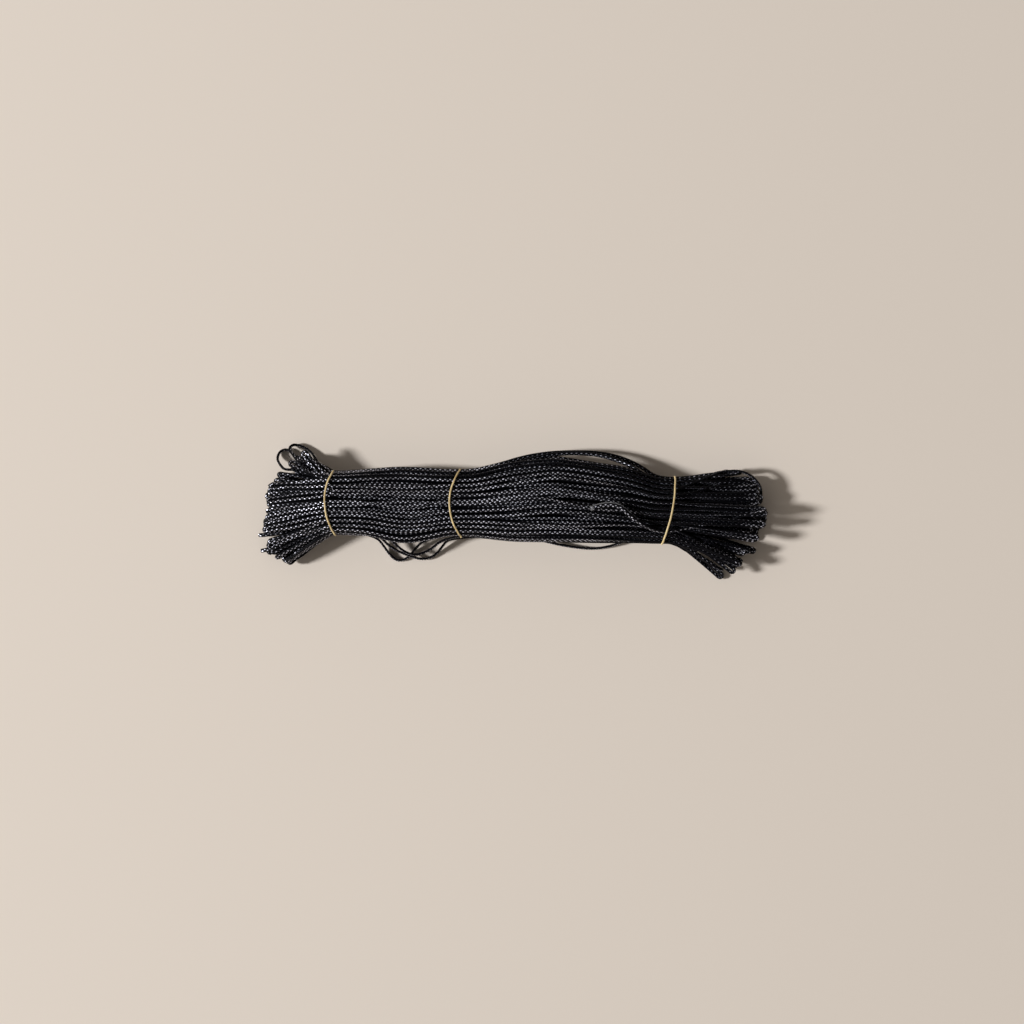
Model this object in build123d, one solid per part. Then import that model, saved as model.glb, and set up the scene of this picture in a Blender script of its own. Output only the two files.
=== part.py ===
"""A hank of thin flat-lying braided cord, folded to and fro and held by three rubber bands.

The hank lies on its side along X. The origin is under the middle of the hank, on the surface
that it lies on, with +Y across it and +Z up. All sizes are in millimetres.
"""

import math
import os

from build123d import *

# ---- Driving dimensions ----
HANK_LENGTH = 366.6  # over the ends of the folds
WAIST_WIDTH = 45.6  # under each band, across
WAIST_HEIGHT = 23.5  # under each band, up
WAIST_RUN = 13.0  # the straight stretch under a band, each way from its middle
BAND_WIDTH = 1.5
BAND_THICKNESS = 0.9
BAND_BITE = 0.5  # how deep a band presses into the hank
CORD_DIAMETER = 3.0  # plain round tube that stands for the flat-lying braid
CORE_DIAMETER = 1.4  # the filler yarns inside the braid, bare at the cut end
CORE_BARE = 2.4  # how far the yarns stand out of the cut braid
FOLD_WIDTH = 6.2  # two runs of cord side by side, where a fold sticks out of the hank
FOLD_DEPTH = 3.0

# Each band: share of the half length, the middle of the waist across, how far its top leans
# along the hank and how far it is turned as seen from above, in degrees.
BANDS = {
    "band_left": (-0.694, 5.8, 24.0, 0.0),
    "band_middle": (-0.198, 5.5, 32.0, 0.0),
    "band_right": (0.613, 0.4, -6.0, -11.0),
}

# The hank's outline between the bands: share of the half length, edge towards -Y, edge towards
# +Y and height. The stretches under the bands are added from BANDS.
LEFT_FAN = [
    (-0.978, -22.0, 12.0, 12.0),
    (-0.970, -26.5, 17.5, 14.0),
    (-0.945, -31.5, 24.0, 16.5),
    (-0.885, -35.5, 30.5, 19.0),
    (-0.815, -29.0, 34.0, 21.5),
]
LEFT_SPAN = [
    (-0.555, -18.5, 30.0, 24.0),
    (-0.440, -24.5, 31.5, 22.5),
    (-0.335, -22.5, 30.5, 23.0),
]
RIGHT_SPAN = [
    (0.000, -22.0, 37.0, 26.0),
    (0.165, -22.5, 40.5, 27.0),
    (0.330, -22.5, 36.5, 27.0),
    (0.455, -22.5, 31.5, 25.5),
]
RIGHT_FAN = [
    (0.735, -36.0, 27.0, 21.5),
    (0.855, -40.0, 29.5, 19.5),
    (0.925, -35.0, 28.5, 18.0),
    (0.970, -27.0, 23.0, 16.0),
    (0.992, -18.0, 15.0, 13.5),
    (1.000, -12.0, 9.0, 12.0),
]
MIDDLE_SHARE = 0.46  # the widest line of a section, as a share of its height

# ---- Stretches of cord outside the hank, as the corners of their routes ----
LAY = CORD_DIAMETER / 2 + 0.1  # the middle of a cord that lies on the surface
ROUTES = {
    "loop_end_ring": [
        (-163.0, 29.0, 9.0), (-167.4, 33.2, 6.2), (-170.0, 38.0, 3.4), (-168.2, 43.0, 1.9),
        (-163.6, 45.0, LAY), (-159.2, 42.6, LAY), (-156.4, 37.6, 2.6), (-152.6, 32.4, 5.8),
    ],
    "loop_end_tall": [
        (-147.0, 28.2, 16.4), (-152.4, 34.6, 12.0), (-157.8, 40.6, 8.0), (-160.9, 45.0, 5.0),
        (-158.8, 48.2, 2.4), (-153.0, 47.4, LAY), (-147.2, 44.4, LAY), (-143.0, 39.4, 2.8),
        (-139.4, 33.4, 6.4),
    ],
    "slack_loop_long": [
        (-97.0, -19.5, 6.0), (-92.6, -25.4, 3.4), (-89.0, -31.0, LAY), (-84.0, -35.8, LAY),
        (-78.4, -35.8, LAY), (-73.6, -32.0, LAY), (-69.4, -26.6, 3.2), (-64.6, -21.8, 5.6),
    ],
    "slack_loop_wide": [
        (-95.4, -17.6, 10.4), (-89.6, -24.4, 8.0), (-82.2, -29.0, 6.2), (-74.6, -32.2, 5.0),
        (-67.4, -34.6, 3.4), (-60.6, -34.6, LAY), (-54.6, -31.2, LAY), (-50.4, -25.6, 3.6),
        (-45.8, -20.0, 6.2),
    ],
    "slack_loop_high": [
        (-90.4, -16.8, 13.2), (-84.2, -23.8, 11.0), (-77.2, -29.6, 9.0), (-70.6, -31.8, 8.2),
        (-64.0, -30.4, 7.4), (-57.8, -27.2, 8.0), (-51.4, -21.4, 9.6),
    ],
    "side_strand_outer": [
        (-8.0, 33.6, 13.0), (6.0, 38.2, 11.2), (24.0, 41.6, 9.4), (42.0, 42.6, 8.2),
        (60.0, 42.2, 7.8), (72.0, 40.2, 8.0), (81.0, 37.6, 8.6), (93.0, 31.8, 10.2),
        (102.5, 24.6, 11.8),
    ],
    "side_strand_inner": [
        (0.0, 32.6, 17.6), (12.0, 37.0, 15.2), (28.0, 40.6, 13.0), (44.0, 41.8, 11.8),
        (60.0, 40.8, 11.4), (71.0, 38.0, 11.8), (80.0, 34.8, 12.4), (88.0, 30.8, 13.6),
        (97.0, 24.6, 15.4),
    ],
    "slack_strand_right": [
        (14.0, -19.0, 6.4), (27.0, -22.8, 4.6), (43.0, -26.0, 2.4), (59.0, -27.6, LAY),
        (72.0, -25.4, 2.4), (84.0, -20.6, 5.0),
    ],
    "free_end": [
        (58.0, 2.2, 28.9), (64.0, 4.0, 29.1), (71.5, 4.4, 29.1), (78.0, 2.2, 29.0),
        (83.0, -3.0, 28.6), (90.0, -8.2, 27.4), (98.0, -12.6, 25.0), (106.0, -15.2, 21.4),
    ],
}
FREE_END = "free_end"

# Folds that stick out of the hank as fingers: share of the half length, place across and height
# of the tip, the way it points in degrees from +X in plan, how far it is rolled over, 90 being
# one run above the other, and how far it reaches back into the hank.
FOLDS = {
    "fold_right_low": (0.832, -48.3, 1.9, -43.0, 0.0, 26.0),
    "fold_right_next": (0.874, -44.4, 9.6, -43.0, 0.0, 22.0),
    "fold_left_high": (-0.821, 42.8, 15.0, 133.0, 0.0, 20.0),
    "fold_left_edge": (-1.000, -17.4, 4.6, 180.0, 90.0, 16.0),
    "fold_left_low": (-0.992, -28.8, 3.4, 189.0, 90.0, 16.0),
}


def band_places():
    """Each band's own place along the hank."""
    return {name: share * HANK_LENGTH / 2 for name, (share, *_) in BANDS.items()}


def stations():
    """Every section of the hank, left to right: (x, middle across, half width, height)."""
    found = []
    spans = [LEFT_FAN, LEFT_SPAN, RIGHT_SPAN, RIGHT_FAN]
    waists = [(place, BANDS[name][1]) for name, place in band_places().items()]
    for number, span in enumerate(spans):
        for share, low, high, height in span:
            found.append((share * HANK_LENGTH / 2, (low + high) / 2, (high - low) / 2, height))
        if number < len(waists):
            place, middle = waists[number]
            for x in (place - WAIST_RUN, place, place + WAIST_RUN):
                found.append((x, middle, WAIST_WIDTH / 2, WAIST_HEIGHT))
    return found


def section(x, middle, half_width, height, grow=0.0):
    """An upright ellipse across the hank, which dips a little under the surface."""
    rise = (1 - MIDDLE_SHARE) * height + grow
    plane = Plane(origin=(x, middle, MIDDLE_SHARE * height), x_dir=(0, 1, 0), z_dir=(1, 0, 0))
    return plane * Ellipse(half_width + grow, rise)


def above(height):
    """All the space above a height, as a box that is far larger than the hank."""
    reach = 3 * HANK_LENGTH
    return Pos(0, 0, height + reach / 2) * Box(reach, reach, reach)


def waist_rod(name, grow, floor):
    """A straight rod with the section of the waist under a band, grown by a band's thickness."""
    place, middle = band_places()[name], BANDS[name][1]
    start = section(place - WAIST_RUN, middle, WAIST_WIDTH / 2, WAIST_HEIGHT, grow)
    return extrude(start, 2 * WAIST_RUN, dir=(1, 0, 0)) & above(floor)


def band_slab(name):
    """The leaning slice of space that a band lies in."""
    _, middle, lean, turn = BANDS[name]
    reach = 4 * WAIST_WIDTH
    middle_point = Pos(band_places()[name], middle, MIDDLE_SHARE * WAIST_HEIGHT)
    return middle_point * Rot(0, 0, turn) * Rot(0, -lean, 0) * Box(BAND_WIDTH, reach, reach)


def band_seat(name):
    """What is left of the waist inside a band, which is also the inside of the band."""
    return waist_rod(name, -BAND_BITE, BAND_THICKNESS)


def band(name):
    """A rubber band round the waist, down to the surface that the hank lies on."""
    outer = waist_rod(name, BAND_THICKNESS - BAND_BITE, 0.0)
    return band_slab(name) & (outer - band_seat(name))


def hank():
    """The outer shape of the whole hank, flat underneath, with a groove for each band."""
    body = loft([section(*station) for station in stations()]) & above(0.0)
    for name in BANDS:
        body = body - (band_slab(name) - band_seat(name))
    return body


def corner_radii(name, points):
    """The largest even arc that the two runs at each corner leave room for."""
    radii = []
    for before, here, after in zip(points, points[1:], points[2:]):
        first, second = Vector(*here) - Vector(*before), Vector(*after) - Vector(*here)
        turn = first.get_angle(second)
        radii.append(0.45 * min(first.length, second.length) / math.tan(math.radians(turn / 2)))
    print(f"{name}: radii", " ".join(f"{radius:.1f}" for radius in radii))
    return radii


def route(name):
    """The middle line of a stretch of cord: straight runs joined by tangent arcs."""
    points = ROUTES[name]
    return FilletPolyline(*points, radius=corner_radii(name, points))


def tube(name, line, diameter, bore=0.0):
    """A round tube along a line, with its volume set against its section times its length."""
    profile = Circle(diameter / 2)
    if bore:
        profile = profile - Circle(bore / 2)
    area = profile.area
    start = Plane(origin=line @ 0, z_dir=line % 0)
    made = sweep(start * profile, path=line)
    print(f"{name}: {line.length:.1f} mm long, volume / (section x length) "
          f"{made.volume / (area * line.length):.4f}")
    return made


def free_end_core(line):
    """The filler yarns inside the free end, which stand out of the cut braid."""
    start = line @ 0
    out = start - (line % 0) * CORE_BARE
    bare = Line(out, start)
    yarns = sweep(Plane(origin=out, z_dir=line % 0) * Circle(CORE_DIAMETER / 2), path=bare)
    return yarns + tube("free_end_core", line, CORE_DIAMETER)


def fold(name):
    """The outer shape of one fold: two runs of cord side by side and a round end."""
    share, across, height, heading, roll, reach = FOLDS[name]
    tip = Pos(share * HANK_LENGTH / 2, across, height)
    run = reach - FOLD_WIDTH / 2
    plan = Pos(-reach / 2 - FOLD_WIDTH / 4, 0) * Rectangle(run, FOLD_WIDTH)
    plan += Pos(-FOLD_WIDTH / 2, 0) * Circle(FOLD_WIDTH / 2)
    solid = extrude(plan, FOLD_DEPTH)
    rim = solid.edges().filter_by(lambda edge: abs(edge.center().X + reach) > 0.01)
    rim = rim.filter_by(lambda edge: abs(edge.bounding_box().size.Z) < 0.01)
    solid = fillet(rim, 0.42 * FOLD_DEPTH)
    return tip * Rot(0, 0, heading) * Rot(roll, 0, 0) * Pos(0, 0, -FOLD_DEPTH / 2) * solid


def main():
    """Makes every node and writes it to its own file."""
    os.makedirs("parts", exist_ok=True)
    nodes = {"hank": hank()}
    for name in BANDS:
        nodes[name] = band(name)
    for name in ROUTES:
        line = route(name)
        if name == FREE_END:
            nodes["free_end_braid"] = tube(name, line, CORD_DIAMETER, CORE_DIAMETER)
            nodes["free_end_core"] = free_end_core(line)
        else:
            nodes[name] = tube(name, line, CORD_DIAMETER)
    for name in FOLDS:
        nodes[name] = fold(name)
    for name, shape in nodes.items():
        export_step(shape, f"parts/{name}.step")
    whole = Compound(children=list(nodes.values())).bounding_box()
    print("whole box", whole.min, whole.max)


main()
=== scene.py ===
"""The looks of the hank: one unbroken braided cord folded to and fro, and three rubber bands.

Lengths are in millimetres until a mesh is made, and the frame is the part's own: +X along the
hank, +Y across it, +Z up from the surface that it lies on.
"""
import math

import bpy
import numpy as np
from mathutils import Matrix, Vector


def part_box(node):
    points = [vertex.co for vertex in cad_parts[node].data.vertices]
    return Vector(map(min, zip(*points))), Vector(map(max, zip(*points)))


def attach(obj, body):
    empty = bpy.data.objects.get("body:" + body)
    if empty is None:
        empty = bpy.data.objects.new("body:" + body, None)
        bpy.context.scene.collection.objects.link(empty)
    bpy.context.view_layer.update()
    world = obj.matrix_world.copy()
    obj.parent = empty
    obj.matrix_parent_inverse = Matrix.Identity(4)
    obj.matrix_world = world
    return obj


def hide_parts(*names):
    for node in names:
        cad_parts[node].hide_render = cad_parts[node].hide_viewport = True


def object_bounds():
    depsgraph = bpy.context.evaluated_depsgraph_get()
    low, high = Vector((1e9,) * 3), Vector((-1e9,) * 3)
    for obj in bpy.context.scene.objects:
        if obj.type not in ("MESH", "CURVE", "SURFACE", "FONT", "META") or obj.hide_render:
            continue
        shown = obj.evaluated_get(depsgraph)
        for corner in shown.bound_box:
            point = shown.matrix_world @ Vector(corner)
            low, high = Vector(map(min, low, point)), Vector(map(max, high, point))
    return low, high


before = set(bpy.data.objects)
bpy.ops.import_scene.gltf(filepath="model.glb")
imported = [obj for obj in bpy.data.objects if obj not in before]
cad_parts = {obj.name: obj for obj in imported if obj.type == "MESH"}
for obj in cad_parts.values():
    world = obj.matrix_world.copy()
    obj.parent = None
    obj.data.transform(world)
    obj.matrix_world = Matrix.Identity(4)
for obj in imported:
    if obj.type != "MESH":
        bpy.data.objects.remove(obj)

MM = 0.001
CAD_BOX = [list(corner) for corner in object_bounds()]

# ---- The cord ----
CORD_WIDTH = 3.1  # the braid lies nearly flat, like a tape
CORD_THICKNESS = 1.55
CORD_ROUND = 2.35  # its diameter where a tight fold plumps it out
PICK = 1.78  # one yarn crossing, along the cord
RIBS = 8  # columns of crossings round the cord
SIDES = 2 * RIBS
RIB_GROOVE = 0.07
PICK_SWELL = 0.05
ROUND_SHARE = 0.92  # how thick a plumped-out fold is, as a share of CORD_ROUND
# Powers of the cosine and sine round the flat braid: below 1, it is fuller than an ellipse.
FLAT_WIDTH_POWER = 0.9
FLAT_THICKNESS_POWER = 0.75
PERIODS_PER_TILE = 32  # white-and-black periods in one repeat of the material
# The white yarns, in periods along the cord and in ribs across it.
FLECK_HALF_LENGTH = 0.175
FLECK_HALF_WIDTH = 0.30
FLECK_SLANT = 0.24
FLECK_INWARD = 0.18  # how much nearer to each other two neighbouring ribs' flecks lie

# ---- The hank ----
LAYERS = 6  # shells of runs round each other
LAYER_DEPTH = 1.66
RUN_PITCH = 3.5  # from one run to the next round a shell, at the waist
EDGE = 0.8  # from the bundle's outline to the middle of the outermost runs
MIDDLE_SHARE = 0.46  # the widest line of a section, as a share of its height
# Powers of the cosine and sine round a section: below 1, it is fuller than an ellipse.
SIDE_POWER = 0.76
TOP_POWER = 0.86
UNDER_POWER = 0.65
BAND_THICKNESS = 0.9
BAND_WIDTH = 1.25
BAND_SEAT = 0.5  # from a band's top down to the outline of the bundle that it holds
BAND_RIPPLE = 0.25
BAND_WAVE = 0.12
BAND_LIFT = (-0.75, -0.75, -1.05)  # in layers, outside the outermost shell
BAND_RINGS = 240
BAND_SIDES = 12
FILAMENTS = 30
LONG_FILAMENTS = 3
LONG_THICKNESS = 0.09
FILAMENT_SIDES = 5
FLOOR = 1.6  # the lowest that the middle of the cord lies
FLOOR_GAP = 0.02  # no point of the cord or of a band lies nearer to the floor
SEED = 11
rng = np.random.default_rng(SEED)

HALF = (CAD_BOX[1][0] - CAD_BOX[0][0]) / 2 / MM


def waist(node, bulge):
    """Where a band grips the hank: place along, middle across, half width and height.

    The bulge is how far the runs stand out past the CAD model's waist on either side.
    """
    low, high = (np.array(corner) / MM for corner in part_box(node))
    middle = (low + high) / 2
    half = (high[1] - low[1]) / 2 - BAND_THICKNESS / 2
    return middle[0], middle[1], half + bulge, high[2] - BAND_SEAT


WAISTS = [waist("band_left", 0.0), waist("band_middle", 1.2), waist("band_right", 0.7)]
WAIST_HALF = WAISTS[0][2]
WAIST_HEIGHT = WAISTS[0][3]

# Sections between the bands: share of the half length, edge towards -Y, edge towards +Y, height.
LEFT_SPAN = [(-0.555, -18.5, 30.0, 24.0), (-0.440, -24.5, 31.5, 22.5), (-0.335, -22.5, 30.5, 23.0)]
RIGHT_SPAN = [(0.000, -22.0, 37.0, 26.0), (0.165, -22.5, 40.0, 27.0), (0.330, -22.5, 35.0, 27.0),
              (0.455, -22.5, 31.5, 25.5)]
WAIST_RUN = 9.0  # how far either way from a band its section goes on unchanged
FOLD_GAP = 1.45  # half the distance between the two runs of a tight fold
FOLD_TURN = 1.2  # how much longer than that its rounded tip is
FINGER_INSET = 1.2  # from the tip of a finger in CAD back to the tip of its fold
ROLL_LIMIT = 1.55  # radians: a run that has turned fully on edge

# How much a run wanders under the bands, and how much more midway between two of them.
DRIFT = (0.2, 0.5)  # round the shell, in runs
RISE = (0.12, 0.75)  # in and out of the shell
SWAY = (0.1, 0.3)  # along the shell's outline
ROLL = (0.12, 0.35)  # of its flat side, in radians
SINK = 0.2  # how much the outermost shell sags inwards midway
LIFT_LIMIT = 0.3  # how far its runs may stand out

# Where the folds of each fan end, from its -Y edge to its +Y edge: share of the way across,
# place along, place across, and the share of its height at the band that the bundle keeps.
LEFT_ENDS = [
    (-1.0, -161.0, -37.0, 0.62), (-0.8, -172.0, -35.0, 0.62), (-0.62, -177.0, -29.0, 0.66),
    (-0.45, -178.0, -20.5, 0.68), (-0.25, -177.5, -10.5, 0.68), (-0.05, -175.8, -2.0, 0.68),
    (0.12, -176.2, 4.0, 0.68), (0.28, -177.5, 9.0, 0.70), (0.42, -176.0, 14.5, 0.72),
    (0.54, -173.5, 19.0, 0.74), (0.64, -171.5, 23.5, 0.76), (0.73, -168.5, 28.0, 0.78),
    (0.81, -163.0, 32.5, 0.80), (0.88, -158.0, 36.0, 0.82), (0.94, -153.5, 38.5, 0.86),
    (1.0, -149.0, 40.0, 0.90),
]
RIGHT_ENDS = [
    (-1.0, 152.0, -44.0, 0.50), (-0.90, 159.0, -41.0, 0.70), (-0.82, 166.5, -37.0, 0.84),
    (-0.74, 166.5, -31.5, 0.76), (-0.65, 175.0, -30.5, 0.74), (-0.53, 174.5, -24.5, 0.74),
    (-0.40, 181.0, -17.5, 0.78), (-0.28, 178.5, -12.5, 0.78), (-0.12, 183.6, -6.5, 0.78),
    (0.03, 181.5, -0.5, 0.76), (0.10, 178.5, 2.4, 0.72), (0.25, 180.0, 7.0, 0.62),
    (0.45, 178.8, 12.0, 0.54), (0.65, 177.0, 17.0, 0.50), (0.82, 175.0, 22.0, 0.48),
    (0.93, 170.5, 26.0, 0.50), (1.0, 160.0, 28.2, 0.60),
]

# Single runs outside the hank, as in the CAD model, in millimetres.
ROUTES = {
    "loop_end_ring": [
        (-163.0, 29.0, 9.0), (-167.4, 33.2, 6.2), (-170.0, 38.0, 3.4), (-168.2, 43.0, 1.9),
        (-163.6, 45.0, FLOOR), (-159.2, 42.6, FLOOR), (-156.4, 37.6, 2.6), (-152.6, 32.4, 5.8),
    ],
    "loop_end_tall": [
        (-147.0, 28.2, 16.4), (-152.4, 34.6, 12.0), (-157.8, 40.6, 8.0), (-160.9, 45.0, 5.0),
        (-158.8, 48.2, 2.4), (-153.0, 47.4, FLOOR), (-147.2, 44.4, FLOOR), (-143.0, 39.4, 2.8),
        (-139.4, 33.4, 6.4),
    ],
    "slack_loop_long": [
        (-97.0, -19.5, 6.0), (-92.6, -25.4, 3.4), (-89.0, -31.0, FLOOR), (-84.0, -35.8, FLOOR),
        (-78.4, -35.8, FLOOR), (-73.6, -32.0, FLOOR), (-69.4, -26.6, 3.2), (-64.6, -21.8, 5.6),
    ],
    "slack_loop_wide": [
        (-95.4, -17.6, 10.4), (-89.6, -24.4, 8.0), (-82.2, -29.0, 6.2), (-74.6, -32.2, 5.0),
        (-67.4, -34.6, 3.4), (-60.6, -34.6, FLOOR), (-54.6, -31.2, FLOOR), (-50.4, -25.6, 3.6),
        (-45.8, -20.0, 6.2),
    ],
    "slack_loop_high": [
        (-90.4, -16.8, 13.2), (-84.2, -23.8, 11.0), (-77.2, -29.6, 9.0), (-70.6, -31.8, 8.2),
        (-64.0, -30.4, 7.4), (-57.8, -27.2, 8.0), (-51.4, -21.4, 9.6),
    ],
    "side_strand_outer": [
        (-8.0, 33.6, 13.0), (6.0, 38.2, 11.2), (24.0, 41.6, 9.4), (42.0, 42.6, 8.2),
        (60.0, 42.2, 7.8), (72.0, 40.2, 8.0), (81.0, 37.6, 8.6), (93.0, 31.8, 10.2),
        (102.5, 24.6, 11.8),
    ],
    "side_strand_inner": [
        (0.0, 32.6, 17.6), (12.0, 37.0, 15.2), (28.0, 40.6, 13.0), (44.0, 41.8, 11.8),
        (60.0, 40.8, 11.4), (71.0, 38.0, 11.8), (80.0, 34.8, 12.4), (88.0, 30.8, 13.6),
        (97.0, 24.6, 15.4),
    ],
    "slack_strand_right": [
        (14.0, -19.0, 6.4), (27.0, -22.8, 4.6), (43.0, -26.0, 2.4), (59.0, -27.6, FLOOR),
        (72.0, -25.4, 2.4), (84.0, -20.6, 5.0),
    ],
    "free_end": [
        (58.0, 2.2, 28.9), (64.0, 4.0, 29.1), (71.5, 4.4, 29.1), (78.0, 2.2, 29.0),
        (83.0, -3.0, 28.6), (90.0, -8.2, 27.4), (98.0, -12.6, 25.0), (106.0, -15.2, 21.4),
    ],
}
# The outermost fold of the right fan swings wide round its corner.
CORNER_LOOP = [
    (150.0, 27.8, 10.0), (157.0, 28.9, 10.2), (163.5, 28.9, 10.4), (169.5, 27.0, 10.4),
    (174.8, 23.2, 10.2), (178.6, 18.0, 9.8), (179.6, 12.6, 9.2), (178.8, 7.6, 8.6),
    (176.0, 5.6, 8.2), (173.8, 9.4, 8.0), (172.6, 14.6, 8.2), (168.0, 18.6, 8.6),
    (160.0, 21.4, 9.2),
]
LOOPS = {False: {name: ROUTES[name] for name in ("loop_end_ring", "loop_end_tall")},
         True: {"corner_loop": CORNER_LOOP}}
STRAYS = ["slack_loop_long", "slack_loop_wide", "slack_loop_high", "side_strand_outer",
          "side_strand_inner", "slack_strand_right"]

# Folds that stick out as fingers: share of the half length, place across and height of the tip,
# the way it points in degrees from +X, its roll, 90 being one run above the other, and its reach.
FINGERS = {
    "fold_right_low": (0.832, -48.3, 1.9, -43.0, 0.0, 26.0),
    "fold_right_next": (0.874, -44.4, 9.6, -43.0, 0.0, 22.0),
    "fold_left_high": (-0.821, 42.8, 15.0, 133.0, 0.0, 20.0),
    "fold_left_edge": (-1.000, -17.4, 4.6, 180.0, 90.0, 16.0),
    "fold_left_low": (-0.992, -28.8, 3.4, 189.0, 90.0, 16.0),
}


# ---- Small helpers ----
def unit(vector):
    """A vector, or each row of an array, at length one."""
    vector = np.asarray(vector, float)
    return vector / np.maximum(np.linalg.norm(vector, axis=-1, keepdims=True), 1e-12)


def ease(share):
    """0 to 1 with level ends."""
    share = np.clip(share, 0.0, 1.0)
    return share * share * (3 - 2 * share)


def smooth_noise(places, spacing):
    """Random values between -1 and 1 that change smoothly along places."""
    places = np.asarray(places, float)
    first = places.min() - spacing * rng.uniform(1.0, 2.0)
    knots = rng.uniform(-1, 1, int((places.max() - first) / spacing) + 3)
    at = (places - first) / spacing
    whole = np.floor(at).astype(int)
    return knots[whole] + (knots[whole + 1] - knots[whole]) * ease(at - whole)


# ---- The hank's sections ----
def section_tables():
    """The middle, half width and height of the bundle against the place along it."""
    rows = []
    for number, (place, middle, half, height) in enumerate(WAISTS):
        rows += [(place + step, middle, half, height) for step in (-WAIST_RUN, 0.0, WAIST_RUN)]
        for share, low, high, tall in (LEFT_SPAN, RIGHT_SPAN, [])[number]:
            rows.append((share * HALF, (low + high) / 2, (high - low) / 2, tall))
    rows = np.array(sorted(rows))
    fine = np.arange(rows[0, 0], rows[-1, 0] + 1.0, 1.0)
    window = np.hanning(17)[1:-1]
    smoothed = [fine]
    for column in (1, 2, 3):
        values = np.pad(np.interp(fine, rows[:, 0], rows[:, column]), 7, mode="edge")
        smoothed.append(np.convolve(values, window / window.sum(), mode="valid"))
    return smoothed


TABLES = section_tables()


def section_at(place):
    """Middle, half width and height of the bundle at a place between the outer bands."""
    return [np.interp(place, TABLES[0], column) for column in TABLES[1:]]


def spot(angle, layer, middle, half, height):
    """Where a run crosses a section, and which way its flat side faces: (y, z) and (y, z)."""
    reach = half - EDGE - layer * LAYER_DEPTH * (half / WAIST_HALF) ** 0.5
    depth = EDGE + layer * LAYER_DEPTH * height / WAIST_HEIGHT
    across, up = np.cos(angle), np.sin(angle)
    under = up < 0
    across = np.sign(across) * np.abs(across) ** SIDE_POWER
    up = np.sign(up) * np.abs(up) ** np.where(under, UNDER_POWER, TOP_POWER)
    rise = np.where(under, MIDDLE_SHARE, 1 - MIDDLE_SHARE) * height - depth
    place = np.array([middle + reach * across, MIDDLE_SHARE * height + rise * up])
    faces = unit(np.array([across / reach, up / np.maximum(rise, 1.0)]).T).T
    return place, faces


def shell_angles(layer):
    """Evenly spaced angles round one shell at the waist, from its top and back to it."""
    fine = np.linspace(0, 2 * math.pi, 721) + math.pi / 2
    place, _ = spot(fine, layer, 0.0, WAIST_HALF, WAIST_HEIGHT)
    along = np.concatenate([[0], np.cumsum(np.hypot(*np.diff(place, axis=1)))])
    count = int(along[-1] / RUN_PITCH)
    wanted = (np.arange(count) + 0.5) * along[-1] / count
    return np.interp(wanted, along, fine)


# ---- One run of cord, from fan to fan ----
class Run:
    """One run of the cord through the hank, with its own wander."""

    def __init__(self, angle, layer):
        self.angle, self.layer = angle, layer
        step = RUN_PITCH / max(WAIST_HALF - layer * LAYER_DEPTH, 8.0)
        places = np.concatenate([
            np.linspace(WAISTS[0][0], WAISTS[1][0], 10)[:-1],
            np.linspace(WAISTS[1][0], WAISTS[2][0], 16),
        ])
        # Slack is 0 under the bands and 1 midway between them.
        slack = np.zeros_like(places)
        for (start, *_), (end, *_) in zip(WAISTS, WAISTS[1:]):
            share = np.clip((places - start) / (end - start), 0, 1)
            slack += np.sin(math.pi * share) ** 2
        drift = smooth_noise(places, 70.0) * (DRIFT[0] + DRIFT[1] * slack)
        rise = smooth_noise(places, 45.0) * (RISE[0] + RISE[1] * slack)
        sway = smooth_noise(places, 40.0) * (SWAY[0] + SWAY[1] * slack)
        roll = smooth_noise(places, 60.0) * (ROLL[0] + ROLL[1] * slack) + rng.normal(0, 0.16)
        roll = roll + self.on_edge(places) * rng.choice([-1, 1]) * rng.uniform(0.9, 1.1)
        middle, half, height = section_at(places)
        (y, z), (face_y, face_z) = spot(angle + drift * step, layer, middle, half, height)
        depth = np.minimum(rise - SINK * slack, LIFT_LIMIT) if layer == 0 else rise
        y = y + face_y * depth - face_z * sway
        z = np.maximum(z + face_z * depth + face_y * sway, FLOOR)
        self.points = np.stack([places, y, z], axis=1)
        self.faces = np.stack([np.zeros_like(y), face_y * np.cos(roll) - face_z * np.sin(roll),
                               face_z * np.cos(roll) + face_y * np.sin(roll)], axis=1)

    def on_edge(self, places):
        """How far the flat cord turns on edge: more towards +X, and at the sides of the hank."""
        cos = math.cos(self.angle)
        rightward = ease((places - 40) / 75) * (1.35 + 0.2 * cos)
        at_side = ease((abs(cos) - 0.4) / 0.35) * (0.55 + 0.3 * cos)
        at_side = at_side * (0.5 + 0.5 * ease((places + 130) / 40))
        return np.minimum(rightward + at_side, ROLL_LIMIT)

    def waist_point(self, right):
        """Where the run passes under the right or the left band."""
        return self.points[-1 if right else 0]


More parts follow.
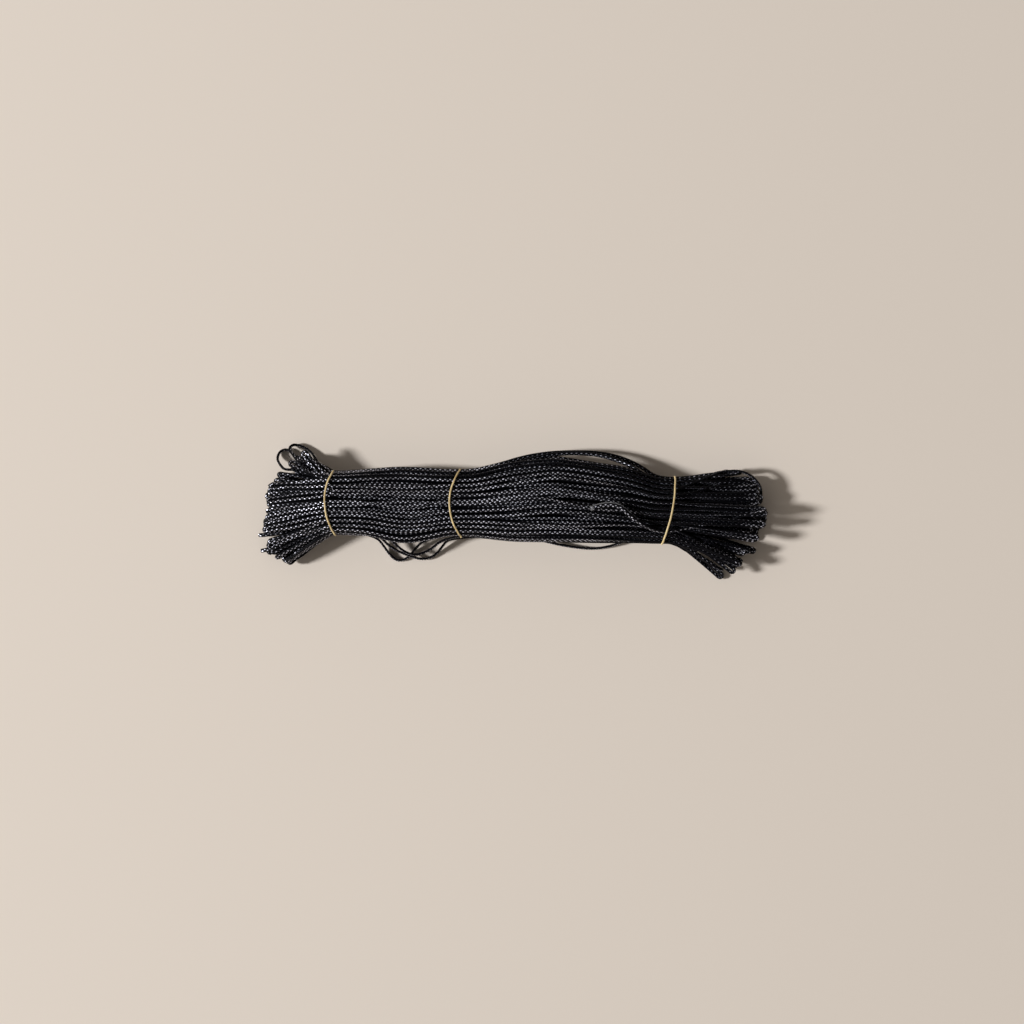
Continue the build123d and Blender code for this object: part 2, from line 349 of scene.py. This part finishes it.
def fan_end(run_a, run_b, right):
    """The tip, direction and sideways line of the fold that joins two runs.

    Folds of the inner shells end further back and scatter more than those of the outermost.
    """
    ends = np.array(RIGHT_ENDS if right else LEFT_ENDS)
    layer = (run_a.layer + run_b.layer) / 2
    start = (run_a.waist_point(right) + run_b.waist_point(right)) / 2
    share = math.cos((run_a.angle + run_b.angle) / 2)
    share = math.copysign(abs(share) ** 1.1, share) * (1 - 0.05 * layer)
    share = share + rng.normal(0, 0.02 + 0.03 * layer)
    along, across, kept = (np.interp(share, ends[:, 0], ends[:, k]) for k in (1, 2, 3))
    tip = np.array([along, across, FLOOR + (start[2] - FLOOR) * kept])
    heading = unit(tip - start - np.array([4.0 if right else -4.0, 0, 0]))
    tip = tip - heading * (rng.uniform(0, 2.0) if layer < 1 else rng.uniform(0, 2.5 + layer))
    tip[1] += rng.normal(0, 0.6)
    tip[2] = max(tip[2] + rng.normal(0, 0.6), FLOOR + 0.2)
    turn = math.radians(rng.normal(0, 4))
    cos, sin = math.cos(turn), math.sin(turn)
    heading = unit([heading[0] * cos - heading[1] * sin, heading[0] * sin + heading[1] * cos,
                    heading[2] + rng.normal(-0.04, 0.05)])
    across = run_a.waist_point(right) - run_b.waist_point(right)
    across = across + rng.normal(0, 0.5, 3)
    across = unit(across - heading * np.dot(across, heading))
    return tip, heading, across


class Line:
    """The cord's control points in the order that they are laid, with how it lies at each.

    Faces say which way its flat side looks, plump how round it is, from 0 to 1, and fine whether
    its mesh shows every crossing of the braid there or only every fourth ring.
    """

    def __init__(self):
        self.points, self.faces, self.plump, self.fine = [], [], [], []

    def add(self, point, face, plump=0.1, fine=True):
        self.points.append(np.asarray(point, float))
        self.faces.append(np.asarray(face, float))
        self.plump.append(plump)
        self.fine.append(fine)


def add_fan(line, run, right, target, outward, fine):
    """The part of a run between its outer band and the base of its fold."""
    start, face = run.waist_point(right), run.faces[-1 if right else 0]
    shares = np.array([0.1, 0.24, 0.42, 0.62, 0.82])
    wobble = smooth_noise(shares, 0.4) * 0.9
    lift = smooth_noise(shares, 0.4) * 0.5
    spin = smooth_noise(shares, 0.5) * (0.35 if right else 0.8)
    places = []
    for share, sway, up, twist in zip(shares, wobble, lift, spin):
        opening = 1.1 * share * share / (share + 0.1)
        point = start + (target - start) * np.array([share, opening, opening])
        point[1] += sway * math.sin(math.pi * share)
        point[2] = max(point[2] + up * math.sin(math.pi * share), FLOOR)
        turned = face + np.array([0, -face[2], face[1]]) * twist * share
        places.append((point, turned))
    for point, turned in places if outward else places[::-1]:
        line.add(point, turned, 0.15 + 0.2 * rng.random(), fine)


def add_fold(line, tip, heading, across, gap, face, roundness=1.0):
    """A tight fold: out along one run, round the tip and back along the other."""
    for back, side, plump in ((1.0, 1.0, 0.5), (0.5, 1.12, 0.8), (-0.12, 0.62, 1.0),
                              (-0.12, -0.62, 1.0), (0.5, -1.12, 0.8), (1.0, -1.0, 0.5)):
        point = tip - heading * (back * (gap + FOLD_TURN)) + across * (side * gap)
        point[2] = max(point[2], FLOOR)
        line.add(point, face, plump * roundness)


def loop_faces(points, name):
    """Which way the flat side faces along a single run outside the hank."""
    points = np.array(points)
    along = unit(np.gradient(points, axis=0))
    outward = unit(np.cross(along, (0, 0, 1)))
    up = np.tile((0.0, 0.0, 1.0), (len(points), 1))
    share = np.linspace(0, 1, len(points))[:, None]
    if name == "free_end":
        return unit(up + 1.5 * share * outward)
    if name.startswith("side_strand"):
        return unit(up + 0.8 * outward)
    if name == "loop_end_tall":
        return unit(outward + up * (0.8 - 0.6 * ease(share * 1.9 - 0.5)))
    return unit(outward + 0.2 * up)


def nearest_run(runs, route, taken):
    """The run of the two outer shells that passes nearest to both ends of a stray stretch."""
    def distance(number):
        ends = (np.array(route[0]), np.array(route[-1]))
        return sum(np.linalg.norm(runs[number].points - end, axis=1).min() for end in ends)

    free = [n for n, run in enumerate(runs) if run.layer in (0, 1) and n not in taken]
    return min(free, key=distance)


def stray_points(run, name):
    """A run's points with a stretch of them swapped for a stray stretch."""
    route = np.array(ROUTES[name])
    faces = loop_faces(route, name)
    blend = 9.0  # left free at either end, for the run to bend in
    before = run.points[:, 0] < route[0, 0] - blend
    after = run.points[:, 0] > route[-1, 0] + blend
    points = np.concatenate([run.points[before], route, run.points[after]])
    faces = np.concatenate([run.faces[before], faces, run.faces[after]])
    return points, faces


def place_folds(runs):
    """The fold at the end of every run, and which of them are loops and fingers.

    Both are keyed by end, True for the right one, and then by the number of the first of the two
    runs that the fold joins.
    """
    joints = {False: {}, True: {}}
    for first in range(len(runs) - 1):
        right = first % 2 == 1
        joints[right][first] = fan_end(runs[first], runs[first + 1], right)
    special = {False: {}, True: {}}
    for right, loops in LOOPS.items():
        for name, route in loops.items():
            pick = closest_joint(joints[right], route[len(route) // 2], special[right], runs)
            special[right][pick] = name
    for name, (share, across, height, heading, roll, _) in FINGERS.items():
        right = share > 0
        tip = np.array([share * HALF, across, height])
        pick = closest_joint(joints[right], tip, special[right], runs)
        special[right][pick] = name
        angle, tilt = math.radians(heading), math.radians(roll)
        ahead = np.array([math.cos(angle), math.sin(angle), 0.0])
        side = np.array([-ahead[1], ahead[0], 0.0]) * math.cos(tilt)
        side = side + np.array([0, 0, math.sin(tilt)])
        if np.dot(side, joints[right][pick][2]) < 0:
            side = -side
        joints[right][pick] = (tip - ahead * FINGER_INSET, ahead, side)
    return joints, special


def lay_free_end(line, runs, joints):
    """The free end, from its cut over the hank and under the right band to its first fold."""
    route = ROUTES["free_end"]
    for point, face in zip(route, loop_faces(route, "free_end")):
        line.add(point, face, 0.05)
    tip, heading, across = fan_end(runs[0], runs[0], True)
    just_past_band = np.array([WAISTS[2][0] + 2.0, -14.6, 20.4])
    line.add(just_past_band, (0, -0.8, 0.6), 0.05)
    for share in (0.35, 0.7):
        point = line.points[-1] * (1 - share) + (tip - heading * 8) * share
        line.add(point - (0, 0, 1.2), (0, 1, 0.1), 0.15)
    joints[True][-1] = (tip, heading, across)
    add_joint(line, joints[True][-1], runs[0], None)


def lay_cord():
    """Every control point of the cord, from its free end to its hidden end, and its runs."""
    runs = [Run(angle, layer) for layer in range(LAYERS) for angle in shell_angles(layer)]
    strays = {}
    for name in STRAYS:
        strays[nearest_run(runs, ROUTES[name], strays)] = name
    joints, special = place_folds(runs)
    line = Line()
    lay_free_end(line, runs, joints)
    for number, run in enumerate(runs):
        rightward = number % 2 == 1
        came, goes = not rightward, rightward
        fine, fan_fine = run.layer <= 1, run.layer <= 3
        base = base_of(joints[came].get(number - 1), special[came].get(number - 1), -1)
        add_fan(line, run, came, base, False, fan_fine)
        points, faces = run.points, run.faces
        if number in strays:
            points, faces = stray_points(run, strays[number])
        order = slice(None) if rightward else slice(None, None, -1)
        flat = 0.12 + 0.12 * smooth_noise(points[:, 0], 40.0)
        for point, face, plump in zip(points[order], faces[order], flat):
            line.add(point, face, plump, fine)
        if number == len(runs) - 1:
            break
        joint, name = joints[goes][number], special[goes].get(number)
        add_fan(line, run, goes, base_of(joint, name, 1), True, fan_fine)
        if name in LOOPS[goes]:
            add_loop(line, name)
        else:
            add_joint(line, joint, run, name)
    return line, runs


def closest_joint(joints, tip, taken, runs):
    """The fold of the outer shell whose tip is nearest to a point."""
    free = [n for n in joints if n not in taken and runs[n].layer == 0 and runs[n + 1].layer == 0
            and not any(abs(n - other) <= 2 for other in taken)]
    return min(free, key=lambda n: np.linalg.norm(joints[n][0] - np.asarray(tip)))


def loop_route(name):
    """The route of a wide loop at either end."""
    return np.array(CORNER_LOOP if name == "corner_loop" else ROUTES[name])


def base_of(joint, name, side):
    """Where a run meets its fold, 1 being the fold's first side and -1 its second."""
    tip, heading, across = joint
    if name in LOOPS[False] or name in LOOPS[True]:
        route = loop_route(name)
        starts_on_first = np.dot(route[0] - route[-1], across) > 0
        return route[0] if (side > 0) == starts_on_first else route[-1]
    reach = FINGERS[name][5] if name in FINGERS else FOLD_GAP + FOLD_TURN
    return tip - heading * reach + across * side * FOLD_GAP


def add_joint(line, joint, run, name):
    """The tight fold between two runs. A finger whose runs lie one above the other stays flat."""
    tip, heading, across = joint
    if name in FINGERS:
        upright = abs(across[2]) > 0.7
        face = across if upright else unit(np.cross(heading, across) + 0.4 * across)
        add_fold(line, tip, heading, across, FOLD_GAP, face, 0.3 if upright else 1.0)
        return
    face = unit(run.faces[0] + 0.4 * rng.normal(0, 1, 3) * np.array([0.2, 1, 1]))
    add_fold(line, tip, heading, across, FOLD_GAP * rng.uniform(0.85, 1.2), face)


def add_loop(line, name):
    """A wide loop at the end of the hank, along its own route."""
    route = loop_route(name)
    faces = loop_faces(route, name)
    gaps = [np.linalg.norm(route[end] - line.points[-1]) for end in (0, -1)]
    order = slice(None) if gaps[0] <= gaps[1] else slice(None, None, -1)
    for point, face in zip(route[order], faces[order]):
        line.add(point, face, 0.1)


# ---- The cord's line and its mesh ----
def nurbs_points(points):
    """Points along the smooth NURBS spline whose control points are given, in millimetres."""
    curve = bpy.data.curves.new("cord_line", "CURVE")
    curve.dimensions = "3D"
    spline = curve.splines.new("NURBS")
    spline.points.add(len(points) - 1)
    flat = np.ones((len(points), 4))
    flat[:, :3] = np.asarray(points) * MM
    spline.points.foreach_set("co", flat.ravel())
    spline.order_u = 3
    spline.use_endpoint_u = True
    spline.resolution_u = 8
    bare = bpy.data.objects.new("cord_line", curve)
    mesh = bpy.data.meshes.new_from_object(bare)
    found = np.empty(len(mesh.vertices) * 3)
    mesh.vertices.foreach_get("co", found)
    bpy.data.objects.remove(bare)
    bpy.data.curves.remove(curve)
    bpy.data.meshes.remove(mesh)
    return found.reshape(-1, 3) / MM


def rings_along(line):
    """Ring centres, flat-side directions and plumpness along the cord."""
    dense = nurbs_points(line.points)
    at = np.linspace(0, len(line.points) - 1, len(dense))
    along = np.concatenate([[0], np.cumsum(np.linalg.norm(np.diff(dense, axis=0), axis=1))])
    step = PICK / 2
    wanted = np.arange(0, int(along[-1] / step)) * step
    control = np.interp(wanted, along, at)
    fine = np.interp(control, np.arange(len(line.fine)), np.array(line.fine, float)) > 0.01
    keep = fine | (np.arange(len(wanted)) % 4 == 0)
    number = np.flatnonzero(keep)
    wanted, control = wanted[keep], control[keep]
    centres = np.stack([np.interp(wanted, along, dense[:, k]) for k in range(3)], axis=1)
    faces = np.stack([np.interp(control, np.arange(len(line.faces)), np.array(line.faces)[:, k])
                      for k in range(3)], axis=1)
    plump = np.interp(control, np.arange(len(line.plump)), line.plump)
    return centres, faces, plump, number, fine[keep], along[-1]


def braid_mesh(name, centres, faces, plump, number, fine):
    """A flattened braided tube round the ring centres, with its ribs and crossings raised."""
    along = unit(np.gradient(centres, axis=0))
    normal = unit(faces - along * (faces * along).sum(1, keepdims=True))
    side = np.cross(along, normal)
    turn = 2 * math.pi * np.arange(SIDES) / SIDES
    cos, sin = np.cos(turn), np.sin(turn)
    plump = np.clip(plump, 0, 1)[:, None]
    width = (CORD_WIDTH * (1 - plump) + CORD_ROUND * plump) / 2
    thick = (CORD_THICKNESS * (1 - plump) + ROUND_SHARE * CORD_ROUND * plump) / 2
    flat_cos = np.sign(cos) * np.abs(cos) ** FLAT_WIDTH_POWER
    flat_sin = np.sign(sin) * np.abs(sin) ** FLAT_THICKNESS_POWER
    middle_of_rib = (np.arange(SIDES) % 2 == 1).astype(float)
    swell = np.where(number % 2 == 1, 1.0, -1.0)[:, None] * fine[:, None]
    relief = RIB_GROOVE * (middle_of_rib - 0.5)[None, :] * 2
    relief = relief + PICK_SWELL * swell * (0.4 + 0.6 * middle_of_rib)[None, :]
    across = (width + relief) * flat_cos[None, :]
    up = (thick + relief) * flat_sin[None, :]
    points = (centres[:, None, :] + across[:, :, None] * side[:, None, :]
              + up[:, :, None] * normal[:, None, :])
    points[:, :, 2] = np.maximum(points[:, :, 2], FLOOR_GAP)
    rings = len(centres)
    quads = tube_quads(rings, SIDES)
    tile = PERIODS_PER_TILE * 2 * PICK
    v = number * (PICK / 2) / tile
    v_low, v_high = np.repeat(v[:-1], SIDES), np.repeat(v[1:], SIDES)
    u_low = np.tile(np.arange(SIDES) / SIDES, rings - 1)
    u_high = u_low + 1 / SIDES
    uv = np.stack([np.stack([u_low, v_low], 1), np.stack([u_high, v_low], 1),
                   np.stack([u_high, v_high], 1), np.stack([u_low, v_high], 1)], axis=1)
    return mesh_from(name, points.reshape(-1, 3) * MM, quads, uv.reshape(-1, 2))


def tube_quads(rings, sides, closed=False):
    """The faces of a tube whose points are listed ring by ring."""
    ring = np.arange(rings if closed else rings - 1)[:, None]
    following = (ring + 1) % rings
    column = np.arange(sides)[None, :]
    after = (column + 1) % sides
    corners = [ring * sides + column, ring * sides + after,
               following * sides + after, following * sides + column]
    return np.stack(corners, axis=2).reshape(-1, 4)


def mesh_from(name, points, quads, uv=None):
    """A smooth-shaded mesh object from arrays of points and faces."""
    mesh = bpy.data.meshes.new(name)
    mesh.vertices.add(len(points))
    mesh.vertices.foreach_set("co", points.astype(np.float32).ravel())
    mesh.loops.add(len(quads) * 4)
    mesh.loops.foreach_set("vertex_index", quads.astype(np.int32).ravel())
    mesh.polygons.add(len(quads))
    mesh.polygons.foreach_set("loop_start", np.arange(0, len(quads) * 4, 4, dtype=np.int32))
    mesh.polygons.foreach_set("use_smooth", np.ones(len(quads), bool))
    mesh.update(calc_edges=True)
    if uv is not None:
        layer = mesh.uv_layers.new(name="OFBake")
        layer.uv.foreach_set("vector", uv.astype(np.float32).ravel())
    mesh.validate()
    made = bpy.data.objects.new(name, mesh)
    bpy.context.scene.collection.objects.link(made)
    return made


# ---- Materials ----
def node_tools(tree):
    """Short ways to add a node to a tree, and to calculate with sockets and numbers."""
    def add(kind, **settings):
        node = tree.nodes.new(kind)
        for key, value in settings.items():
            setattr(node, key, value)
        return node

    def calc(operation, *values):
        node = add("ShaderNodeMath", operation=operation)
        for socket, value in zip(node.inputs, values):
            if isinstance(value, (int, float)):
                socket.default_value = value
            else:
                tree.links.new(value, socket)
        return node.outputs[0]

    return add, calc


def new_material(name):
    """A node material, and what is needed to add its nodes."""
    material = bpy.data.materials.new(name)
    material.use_nodes = True
    tree = material.node_tree
    add, calc = node_tools(tree)
    return material, tree.nodes["Principled BSDF"], tree.links.new, add, calc


def remap(add, link, source, low, high):
    """A node that takes 0 to 1 from a socket to low to high."""
    node = add("ShaderNodeMapRange")
    link(source, node.inputs["Value"])
    node.inputs["To Min"].default_value = low
    node.inputs["To Max"].default_value = high
    return node


def braid_material():
    """Glossy black braid with a white reflective yarn at every other crossing of each rib."""
    material, shader, link, add, calc = new_material("black_reflective_braid")
    uv = add("ShaderNodeUVMap", uv_map="OFBake")
    split = add("ShaderNodeSeparateXYZ")
    link(uv.outputs[0], split.inputs[0])
    column = calc("MULTIPLY", split.outputs[0], float(RIBS))
    rib = calc("FLOOR", column)
    in_rib = calc("SUBTRACT", calc("FRACT", column), 0.5)
    odd = calc("MODULO", rib, 2.0)
    slant = calc("MULTIPLY", calc("SUBTRACT", calc("MULTIPLY", odd, 2.0), 1.0),
                 FLECK_SLANT)
    period = calc("MULTIPLY", calc("FRACT", split.outputs[1]), float(PERIODS_PER_TILE))
    shifted = calc("ADD", calc("ADD", period, calc("MULTIPLY", odd, 0.5)),
                   calc("MULTIPLY", in_rib, slant))
    along = calc("SUBTRACT", calc("FRACT", shifted), 0.5)
    count = calc("MODULO", calc("FLOOR", shifted), float(PERIODS_PER_TILE))
    # The white yarns of neighbouring ribs lie close to the line between them.
    inward = calc("SUBTRACT", in_rib,
                  calc("MULTIPLY", calc("SUBTRACT", odd, 0.5), FLECK_INWARD))
    lengthwise = calc("DIVIDE", calc("ABSOLUTE", along), FLECK_HALF_LENGTH)
    crosswise = calc("DIVIDE", calc("ABSOLUTE", inward), FLECK_HALF_WIDTH)
    reach = calc("ADD", calc("POWER", lengthwise, 2.4), calc("POWER", crosswise, 2.4))
    fleck = add("ShaderNodeMapRange", interpolation_type="SMOOTHSTEP")
    link(reach, fleck.inputs["Value"])
    fleck.inputs["From Min"].default_value = 0.7
    fleck.inputs["From Max"].default_value = 1.25
    fleck.inputs["To Min"].default_value = 1.0
    fleck.inputs["To Max"].default_value = 0.0
    # Each white yarn gets a random brightness: partly its own tone, partly painted shade for yarns
    # turned away from the light, a few of which stay dark.
    where = add("ShaderNodeCombineXYZ")
    link(count, where.inputs[0])
    link(rib, where.inputs[1])
    chance = add("ShaderNodeTexWhiteNoise", noise_dimensions="2D")
    link(where.outputs[0], chance.inputs["Vector"])
    fleck_tone_and_shade = remap(add, link, chance.outputs["Value"], 0.35, 1.0)
    fleck_tone_and_shade.inputs["From Min"].default_value = 0.05
    fleck_tone_and_shade.inputs["From Max"].default_value = 0.7
    # Only the two middle ribs of either flat side have white yarns.
    off_middle = calc("ABSOLUTE", calc("SUBTRACT", calc("MODULO", rib, 4.0), 1.5))
    foil = calc("MULTIPLY", fleck.outputs[0], calc("LESS_THAN", off_middle, 1.0))
    # The white yarns, darkened by their random tone and painted shade.
    white = calc("MULTIPLY", foil, fleck_tone_and_shade.outputs[0])
    # Fine filaments run slantwise along every yarn.
    fine = add("ShaderNodeCombineXYZ")
    link(calc("ADD", calc("MULTIPLY", column, 7.0), calc("MULTIPLY", shifted, 3.0)),
         fine.inputs[0])
    link(calc("MULTIPLY", period, 0.5), fine.inputs[1])
    filament = add("ShaderNodeTexNoise", noise_dimensions="2D")
    filament.inputs["Scale"].default_value = 1.0
    filament.inputs["Detail"].default_value = 2.0
    link(fine.outputs[0], filament.inputs["Vector"])
    yarn = add("ShaderNodeMix", data_type="RGBA")
    link(filament.outputs[0], yarn.inputs["Factor"])
    yarn.inputs["A"].default_value = (0.0008, 0.0008, 0.0011, 1)
    yarn.inputs["B"].default_value = (0.0022, 0.0022, 0.0042, 1)
    colour = add("ShaderNodeMix", data_type="RGBA")
    link(white, colour.inputs["Factor"])
    link(yarn.outputs["Result"], colour.inputs["A"])
    colour.inputs["B"].default_value = (0.84, 0.85, 0.97, 1)
    link(colour.outputs["Result"], shader.inputs["Base Color"])
    link(foil, shader.inputs["Metallic"])
    rough = remap(add, link, filament.outputs[0], 0.36, 0.50)
    link(calc("ADD", rough.outputs[0], calc("MULTIPLY", white, 0.06)), shader.inputs["Roughness"])
    # Crossings swell in the middle and dip where the next yarn passes over.
    swell = calc("ABSOLUTE", calc("SINE", calc("MULTIPLY", shifted, 2 * math.pi)))
    groove = calc("SUBTRACT", 1.0, calc("POWER", calc("MULTIPLY", calc("ABSOLUTE", in_rib), 2.0),
                                        3.0))
    height = calc("ADD", calc("MULTIPLY", swell, groove),
                  calc("MULTIPLY", filament.outputs[0], 0.25))
    bump = add("ShaderNodeBump")
    bump.inputs["Strength"].default_value = 0.6
    bump.inputs["Distance"].default_value = 0.0002
    link(height, bump.inputs["Height"])
    link(bump.outputs[0], shader.inputs["Normal"])
    shader.inputs["Specular IOR Level"].default_value = 0.09
    return material


def rubber_material():
    """Pale tan natural rubber, a little translucent, with fine dust and scuffs."""
    material, shader, link, add, _ = new_material("natural_rubber")
    place = add("ShaderNodeTexCoord")
    cloud = add("ShaderNodeTexNoise")
    cloud.inputs["Scale"].default_value = 140.0
    cloud.inputs["Detail"].default_value = 4.0
    link(place.outputs["Object"], cloud.inputs["Vector"])
    grain = add("ShaderNodeTexNoise")
    grain.inputs["Scale"].default_value = 2400.0
    link(place.outputs["Object"], grain.inputs["Vector"])
    colour = add("ShaderNodeValToRGB")
    colour.color_ramp.elements[0].position = 0.3
    colour.color_ramp.elements[0].color = (0.40, 0.29, 0.13, 1)
    colour.color_ramp.elements[1].position = 0.72
    colour.color_ramp.elements[1].color = (0.66, 0.53, 0.29, 1)
    link(cloud.outputs[0], colour.inputs[0])
    link(colour.outputs[0], shader.inputs["Base Color"])
    rough = remap(add, link, cloud.outputs[0], 0.38, 0.62)
    link(rough.outputs[0], shader.inputs["Roughness"])
    bump = add("ShaderNodeBump")
    bump.inputs["Strength"].default_value = 0.35
    bump.inputs["Distance"].default_value = 0.0001
    link(grain.outputs[0], bump.inputs["Height"])
    link(bump.outputs[0], shader.inputs["Normal"])
    shader.inputs["Subsurface Weight"].default_value = 0.12
    shader.inputs["Subsurface Radius"].default_value = (0.0012, 0.0008, 0.0004)
    return material


def floor_material():
    """A plain pale warm floor."""
    material, shader, *_ = new_material("pale_floor")
    shader.inputs["Base Color"].default_value = (0.650, 0.587, 0.523, 1)
    shader.inputs["Roughness"].default_value = 0.9
    shader.inputs["Specular IOR Level"].default_value = 0.1
    return material


# ---- Floor, light and camera, in metres and degrees ----
FLOOR_SIZE = 30.0
KEY_ELEVATION = 27.0
KEY_AZIMUTH = 183.0  # where the light stands, from +X
KEY_DISTANCE = 9.0
KEY_SIZE = 1.3
KEY_POWER = 1323.0
FILL = 0.28
CAMERA_PLACE = (0.0, -0.0007, 1.443)
CAMERA_LENS = 70.0


def make_stage():
    """The floor that the hank lies on."""
    size = FLOOR_SIZE
    corners = [(-size, -size, 0), (size, -size, 0), (size, size, 0), (-size, size, 0)]
    mesh = bpy.data.meshes.new("floor")
    mesh.from_pydata(corners, [], [(0, 1, 2, 3)])
    floor = bpy.data.objects.new("floor", mesh)
    bpy.context.scene.collection.objects.link(floor)
    mesh.materials.append(floor_material())


def soft_room():
    """Fill light that comes from low all round, more of it from the key light's side."""
    world = bpy.data.worlds.new("soft_room")
    world.use_nodes = True
    tree = world.node_tree
    add, calc = node_tools(tree)
    place = add("ShaderNodeTexCoord")
    split = add("ShaderNodeSeparateXYZ")
    tree.links.new(place.outputs["Generated"], split.inputs[0])
    low = calc("SUBTRACT", 1.0, calc("MULTIPLY", split.outputs[2], split.outputs[2]))
    leftward = calc("SUBTRACT", 1.0, calc("MULTIPLY", split.outputs[0], 0.7))
    glow = calc("MULTIPLY", calc("MULTIPLY", low, low), leftward)
    background = tree.nodes["Background"]
    background.inputs[0].default_value = (1.0, 0.92, 0.84, 1)
    tree.links.new(calc("MULTIPLY", glow, 3 * FILL), background.inputs[1])
    return world


def make_light():
    """A low disk of light on the left, and the fill."""
    light = bpy.data.lights.new("key", "AREA")
    light.shape = "DISK"
    light.size = KEY_SIZE
    light.energy = KEY_POWER
    lamp = bpy.data.objects.new("key", light)
    up, round_about = math.radians(KEY_ELEVATION), math.radians(KEY_AZIMUTH)
    lamp.location = (KEY_DISTANCE * math.cos(up) * math.cos(round_about),
                     KEY_DISTANCE * math.cos(up) * math.sin(round_about),
                     KEY_DISTANCE * math.sin(up))
    lamp.rotation_euler = (0, math.pi / 2 - up, round_about)
    bpy.context.scene.collection.objects.link(lamp)
    bpy.context.scene.world = soft_room()


def make_camera():
    """The photo's camera, straight above the hank and looking down."""
    camera = bpy.data.cameras.new("camera")
    camera.lens = CAMERA_LENS
    camera.sensor_width = 36.0
    body = bpy.data.objects.new("camera", camera)
    body.location = CAMERA_PLACE
    body.rotation_euler = (0, 0, 0)
    bpy.context.scene.collection.objects.link(body)
    bpy.context.scene.camera = body
    bpy.context.scene.view_settings.view_transform = "Standard"


# ---- The rubber bands ----
# Node, how far its middle bows towards -X on top, and its turn in plan in degrees.
BANDS = [("band_left", 5.9, 1.8), ("band_middle", 7.7, 0.8), ("band_right", -1.8, -11.0)]


def band_piece(number, rubber):
    """A thin flat rubber band round a waist, riding over the runs."""
    node, bow, turn = BANDS[number]
    place, middle, half, height = WAISTS[number]
    angle = np.arange(BAND_RINGS) * 2 * math.pi / BAND_RINGS
    (y, z), (face_y, face_z) = spot(angle, BAND_LIFT[number], middle, half, height)
    share = np.clip((y - middle) / half, -1, 1)
    x = place - math.tan(math.radians(turn)) * (y - middle)
    x = x - bow * (1 - share * share) * np.sign(np.sin(angle))
    phases = rng.uniform(0, 2 * math.pi, 6)
    ripple = sum(np.sin((3 + 2 * k) * angle + phases[k]) / (3 + k) for k in range(6))
    x = x + BAND_RIPPLE * ripple
    lift = BAND_WAVE * np.sin(17 * angle + phases[0]) * np.sin(2 * angle + phases[1])
    centres = np.stack([x, y + lift * face_y, np.maximum(z + lift * face_z, BAND_THICKNESS / 2)],
                       axis=1)
    around = np.concatenate([centres[-1:], centres, centres[:1]])
    along = unit(around[2:] - around[:-2])
    faces = np.stack([0.12 * ripple, face_y, face_z], axis=1)
    normal = unit(faces - along * (faces * along).sum(1, keepdims=True))
    side = np.cross(along, normal)
    corner = 2 * math.pi * (np.arange(BAND_SIDES) + 0.5) / BAND_SIDES
    wide = np.sign(np.cos(corner)) * np.abs(np.cos(corner)) ** 0.5 * BAND_WIDTH / 2
    thick = np.sign(np.sin(corner)) * np.abs(np.sin(corner)) ** 0.6 * BAND_THICKNESS / 2
    points = (centres[:, None, :] + wide[None, :, None] * side[:, None, :]
              + thick[None, :, None] * normal[:, None, :])
    points[:, :, 2] = np.maximum(points[:, :, 2], FLOOR_GAP)
    quads = tube_quads(BAND_RINGS, BAND_SIDES, closed=True)
    band = mesh_from("rubber_" + node, points.reshape(-1, 3) * MM, quads)
    band.data.materials.append(rubber)
    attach(band, "root")
    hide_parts(node)


# ---- The cut end ----
def cut_end():
    """Filler yarns and frayed filaments at the free end of the cord."""
    route = nurbs_points(ROUTES["free_end"])
    start = route[0]
    back = unit(route[0] - route[4])
    side = unit(np.cross((0, 0, 1), back))
    up = np.cross(back, side)
    points, quads = [], []
    for number in range(FILAMENTS):
        long_one = number < LONG_FILAMENTS
        across, rise = rng.uniform(-1.3, 1.3), rng.uniform(-0.5, 0.6)
        reach = rng.uniform(1.2, 3.6)
        splay = unit(back + side * rng.normal(0, 0.45) + up * rng.normal(0.1, 0.3))
        share = np.linspace(0, 1, 9)[:, None]
        path = start + side * across + up * rise + splay * reach * share
        path = path + side * rng.normal(0, 0.5) * share ** 2 - (0, 0, 0.8) * share ** 2
        if long_one:
            run = route[: 22 + 9 * number]
            along = np.gradient(run, axis=0)
            out = unit(np.cross((0, 0, 1), along))
            path = run + out * (1.5 + 0.25 * number) + np.array([0, 0, 0.5])
        thickness = LONG_THICKNESS if long_one else rng.uniform(0.06, 0.11)
        add_filament(points, quads, path, thickness)
    made = mesh_from("filler_yarn_ends", np.concatenate(points) * MM, np.concatenate(quads))
    material, shader, *_ = new_material("pale_filaments")
    shader.inputs["Base Color"].default_value = (0.2, 0.2, 0.21, 1)
    shader.inputs["Roughness"].default_value = 0.45
    made.data.materials.append(material)
    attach(made, "root")
    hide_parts("free_end_core")


def add_filament(points, quads, path, thickness):
    """A thin tapering thread along a path."""
    along = unit(np.gradient(path, axis=0))
    side = unit(np.cross(along, (0.1, 0.2, 1.0)))
    up = np.cross(side, along)
    turn = 2 * math.pi * np.arange(FILAMENT_SIDES) / FILAMENT_SIDES
    taper = (thickness * (1 - 0.6 * np.linspace(0, 1, len(path)) ** 2))[:, None, None]
    ring_points = path[:, None, :] + taper * (np.cos(turn)[None, :, None] * side[:, None, :]
                                              + np.sin(turn)[None, :, None] * up[:, None, :])
    first = sum(len(part) for part in points)
    points.append(ring_points.reshape(-1, 3))
    quads.append(first + tube_quads(len(path), FILAMENT_SIDES))


# ---- Everything ----
def make_cord():
    line, runs = lay_cord()
    centres, faces, plump, number, fine, length = rings_along(line)
    cord = braid_mesh("cord", centres, faces, plump, number, fine)
    cord.data.materials.append(braid_material())
    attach(cord, "root")
    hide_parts("hank", *(name for name in ROUTES if name != "free_end"), *FINGERS,
                "free_end_braid")
    print("cord: runs", len(runs), "length m", round(length * MM, 2), "rings", len(centres))


make_camera()
make_cord()
cut_end()
rubber = rubber_material()
for number in range(len(BANDS)):
    band_piece(number, rubber)
make_stage()
make_light()
